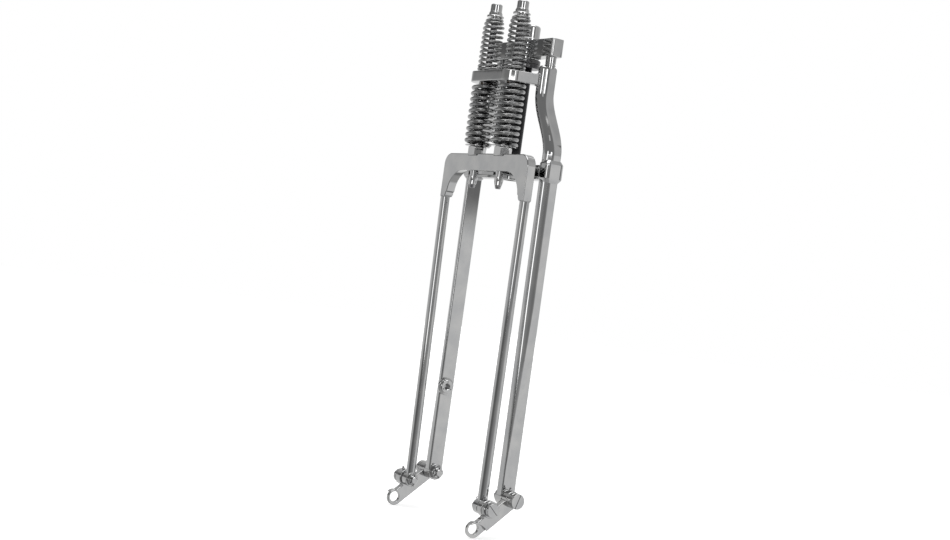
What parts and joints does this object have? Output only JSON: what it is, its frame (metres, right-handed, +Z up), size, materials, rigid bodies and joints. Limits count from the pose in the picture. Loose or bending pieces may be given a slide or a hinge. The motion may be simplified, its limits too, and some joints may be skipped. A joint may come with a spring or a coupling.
{
  "type": "suspension fork",
  "caption": "Leading-link springer fork with flat rear legs, tubular front legs, a yoke, paired coil springs on rods, a steering stem and rockers that carry the axle",
  "frame": {"origin": "on the steering axis, at the top of the crown's stem boss, where the lower bearing race sits", "axes": "+Z up along the steering axis, -Y towards the wheel, +X the rider's left"},
  "size_m": [0.321, 0.1051, 0.9143],
  "materials": {
    "chrome": "mirror-bright plating",
    "dark_steel": "black oxide, satin",
    "steel": "bright zinc",
    "bronze": "turned bronze"
  },
  "bodies": {
    "frame": {"lower_crown": "chrome", "bearing_adjuster": "chrome", "stem_cap_nut": "chrome", "top_clamp": "chrome", "spring_bridge": "chrome", "brake_anchor_boss": "chrome", "clamp_screw_left": "chrome", "clamp_screw_right": "chrome", "rear_leg_left": "chrome", "rear_leg_right": "chrome", "main_spring_left": "chrome", "main_spring_right": "chrome", "inner_spring_left": "chrome", "inner_spring_right": "chrome", "rebound_spring_left": "chrome", "rebound_spring_right": "chrome", "rear_stud_left": "chrome", "rear_stud_right": "chrome", "rear_castle_nut_left": "chrome", "rear_castle_nut_right": "chrome", "steering_stem": "dark_steel", "rear_cotter_left": "steel", "rear_cotter_right": "steel", "rear_washer_left": "steel", "rear_washer_right": "steel", "guide_bushing_left": "bronze", "guide_bushing_right": "bronze"},
    "front_assembly": {"yoke": "chrome", "front_leg_left": "chrome", "front_leg_right": "chrome", "spring_rod_left": "steel", "spring_rod_right": "steel", "rod_lock_nut_left": "chrome", "rod_lock_nut_right": "chrome", "seat_nut_left": "chrome", "seat_nut_right": "chrome", "spring_seat_left": "chrome", "spring_seat_right": "chrome", "rebound_collar_left": "chrome", "rebound_collar_right": "chrome", "rod_cap_nut_left": "chrome", "rod_cap_nut_right": "chrome", "front_stud_left": "chrome", "front_stud_right": "chrome", "front_castle_nut_left": "chrome", "front_castle_nut_right": "chrome", "front_cotter_left": "steel", "front_cotter_right": "steel", "front_washer_left": "steel", "front_washer_right": "steel"},
    "rocker_left_body": {"rocker_left": "chrome", "rear_bushing_left": "bronze", "front_bushing_left": "bronze", "rear_grease_fitting_left": "steel", "front_grease_fitting_left": "steel"},
    "rocker_right_body": {"rocker_right": "chrome", "rear_bushing_right": "bronze", "front_bushing_right": "bronze", "rear_grease_fitting_right": "steel", "front_grease_fitting_right": "steel"}
  },
  "joints": [
    {"name": "front_travel", "type": "slide", "parent": "frame", "child": "front_assembly", "axis": [0, 0, 1], "range_m": [-0.004, 0.024], "stiffness_N_per_m": 20000, "springref_m": 0.0018, "deforming": ["main_spring_left", "main_spring_right", "inner_spring_left", "inner_spring_right", "rebound_spring_left", "rebound_spring_right"]},
    {"name": "rocker_left_swing", "type": "hinge", "parent": "frame", "child": "rocker_left_body", "pos_m": [0.138, 0, -0.5727], "axis": [1, 0, 0], "range_deg": [-28.5, 4.9]},
    {"name": "rocker_right_swing", "type": "hinge", "parent": "frame", "child": "rocker_right_body", "pos_m": [-0.138, 0, -0.5727], "axis": [1, 0, 0], "range_deg": [-28.5, 4.9]}
  ],
  "couplings": [
    {"joint": "rocker_left_swing", "follows": "front_travel", "rad_per_m": -20.6},
    {"joint": "rocker_right_swing", "follows": "front_travel", "rad_per_m": -20.6}
  ]
}
